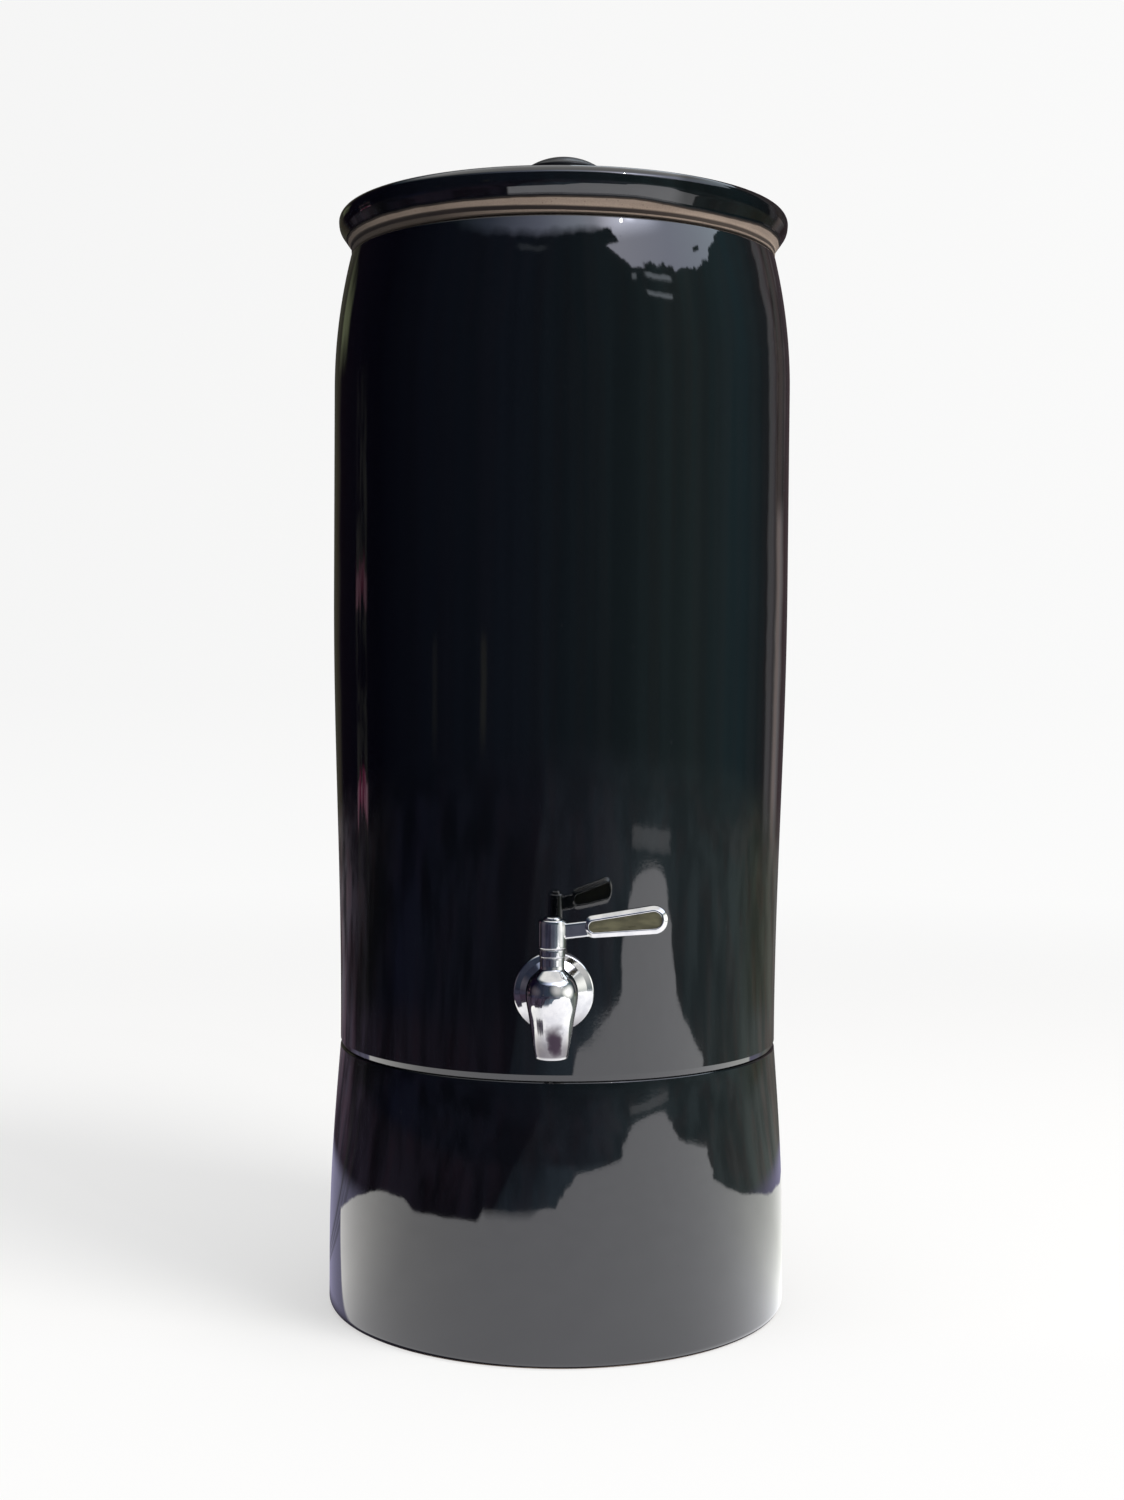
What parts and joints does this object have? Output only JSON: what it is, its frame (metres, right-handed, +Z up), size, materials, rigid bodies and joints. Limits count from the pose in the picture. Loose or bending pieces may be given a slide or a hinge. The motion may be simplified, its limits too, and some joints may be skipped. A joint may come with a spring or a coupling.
{
  "type": "gravity water filter",
  "caption": "Stoneware gravity water filter: crock on a ring stand, lift-out filter pot with ceramic dome and cartridge, lid, and a quarter-turn tap.",
  "frame": {"origin": "on the floor, on the axis of the crock and its stand", "axes": "+Z up along the crock's axis; the tap faces -Y; the closed lever points to +X"},
  "size_m": [0.242, 0.2948, 0.606],
  "materials": {
    "glaze": "gloss",
    "lid_glaze": "gloss",
    "filter_ceramic": "matte",
    "chrome": "polished",
    "steel": "satin",
    "inlay": "gloss",
    "silicone": "matte",
    "black_rubber": "matte",
    "white_plastic": "satin",
    "blue_plastic": "satin",
    "clear_plastic": "gloss",
    "felt": "matte",
    "carbon": "matte",
    "zeolite": "matte",
    "mineral_sand": "matte",
    "silica_sand": "matte",
    "mineral_balls": "matte"
  },
  "bodies": {
    "stand": {"stand": "glaze"},
    "crock": {"crock": "glaze", "tap_body": "chrome", "tap_flange": "chrome", "tap_outer_washer": "silicone", "tap_inner_washer": "silicone", "tap_nut": "steel", "bonnet_ring": "chrome", "valve_sleeve": "white_plastic"},
    "lever": {"lever": "chrome", "lever_inlay": "inlay", "lever_screw": "chrome", "valve_stem": "steel", "stem_o_rings": "black_rubber"},
    "filter_pot": {"filter_pot": "glaze", "ceramic_dome": "filter_ceramic", "dome_base": "blue_plastic", "dome_washer": "silicone", "pot_nut": "blue_plastic", "cartridge_cap": "blue_plastic", "cartridge_seal": "silicone", "cartridge_tube": "clear_plastic", "cartridge_base": "blue_plastic", "cartridge_screen": "steel", "felt_pads": "felt", "media_carbon": "carbon", "media_zeolite": "zeolite", "media_mineral_sand": "mineral_sand", "media_silica_sand": "silica_sand", "media_mineral_balls": "mineral_balls"},
    "lid": {"lid": "lid_glaze", "lid_knob": "lid_glaze"}
  },
  "joints": [
    {"name": "crock_lift", "type": "slide", "parent": "stand", "child": "crock", "axis": [0, 0, 1], "range_m": [0, 0.05]},
    {"name": "tap_turn", "type": "hinge", "parent": "crock", "child": "lever", "pos_m": [0, -0.16172, 0.202], "axis": [0, 0, 1], "range_deg": [-90, 0]},
    {"name": "pot_lift", "type": "slide", "parent": "crock", "child": "filter_pot", "axis": [0, 0, 1], "range_m": [0, 0.365]},
    {"name": "lid_lift", "type": "slide", "parent": "filter_pot", "child": "lid", "axis": [0, 0, 1], "range_m": [0, 0.06]}
  ]
}
